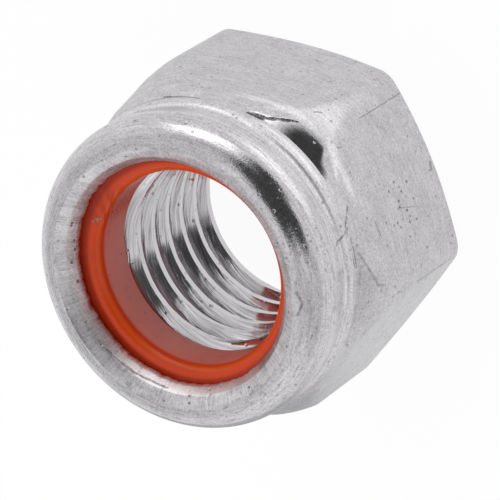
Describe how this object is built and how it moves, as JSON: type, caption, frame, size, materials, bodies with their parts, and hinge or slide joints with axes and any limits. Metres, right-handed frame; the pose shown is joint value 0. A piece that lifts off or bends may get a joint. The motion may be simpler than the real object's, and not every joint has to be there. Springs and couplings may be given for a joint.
{
  "type": "nylon insert lock nut",
  "caption": "Hexagon lock nut with rounded shoulders and a rolled collar that holds a red nylon locking ring over the threaded bore.",
  "frame": {"origin": "centre of the bearing face, where the nut stands on what it clamps", "axes": "+Z along the thread axis towards the locking ring; +X through the middle of a flat"},
  "size_m": [0.024, 0.0272, 0.0189],
  "materials": {
    "body_steel": "bright, lightly scratched",
    "ring_nylon": "glossy, slightly translucent"
  },
  "bodies": {
    "root": {"nut_body": "body_steel", "locking_ring": "ring_nylon"}
  },
  "joints": []
}
